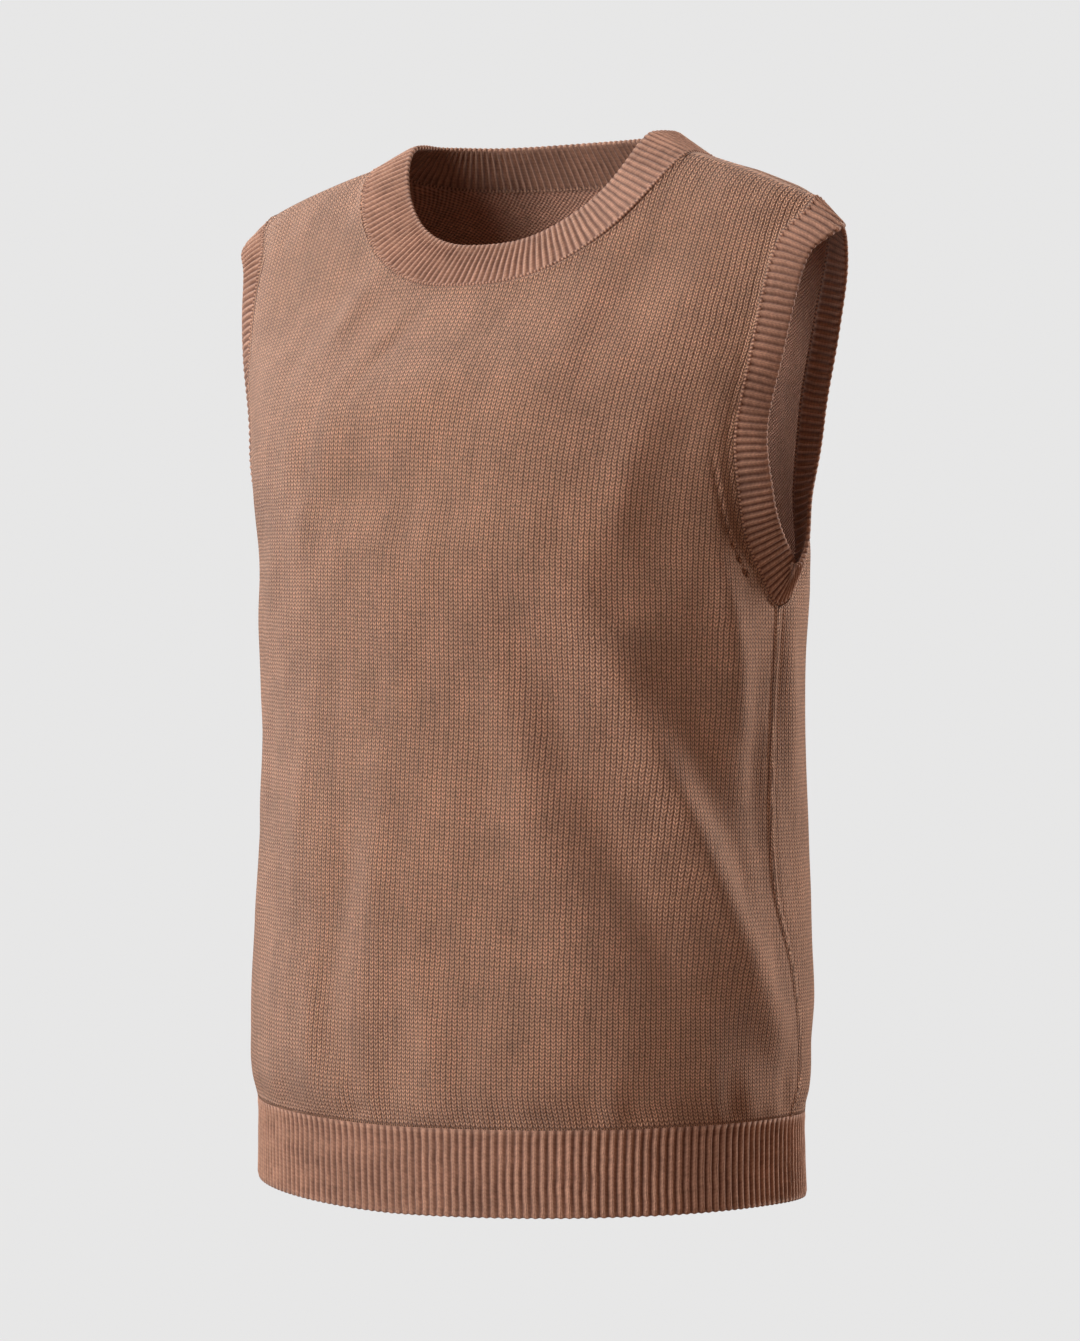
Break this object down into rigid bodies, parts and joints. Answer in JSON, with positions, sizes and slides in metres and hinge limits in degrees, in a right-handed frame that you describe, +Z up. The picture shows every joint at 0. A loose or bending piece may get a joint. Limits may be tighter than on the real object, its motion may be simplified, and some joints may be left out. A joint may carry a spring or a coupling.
{
  "type": "sweater vest",
  "caption": "Sleeveless knitted sweater vest in its worn, hollow form, with a crew neck and ribbed neck, armhole and hem bands.",
  "frame": {"origin": "midway between the high points of the shoulders, where the wearer holds the vest up", "axes": "+Z up, -Y towards the front, +X towards the wearer's left"},
  "size_m": [0.4204, 0.2595, 0.6002],
  "materials": {
    "front_panel": "matte knitted jersey, plain stitch",
    "back_panel": "matte knitted jersey, plain stitch",
    "neckband": "matte ribbed knit",
    "armhole_band_left": "matte ribbed knit",
    "armhole_band_right": "matte ribbed knit",
    "hem_rib_front": "matte ribbed knit",
    "hem_rib_back": "matte ribbed knit"
  },
  "bodies": {
    "root": {"front_panel": "front_panel", "back_panel": "back_panel", "neckband": "neckband", "armhole_band_left": "armhole_band_left", "armhole_band_right": "armhole_band_right", "hem_rib_front": "hem_rib_front", "hem_rib_back": "hem_rib_back"}
  },
  "joints": []
}
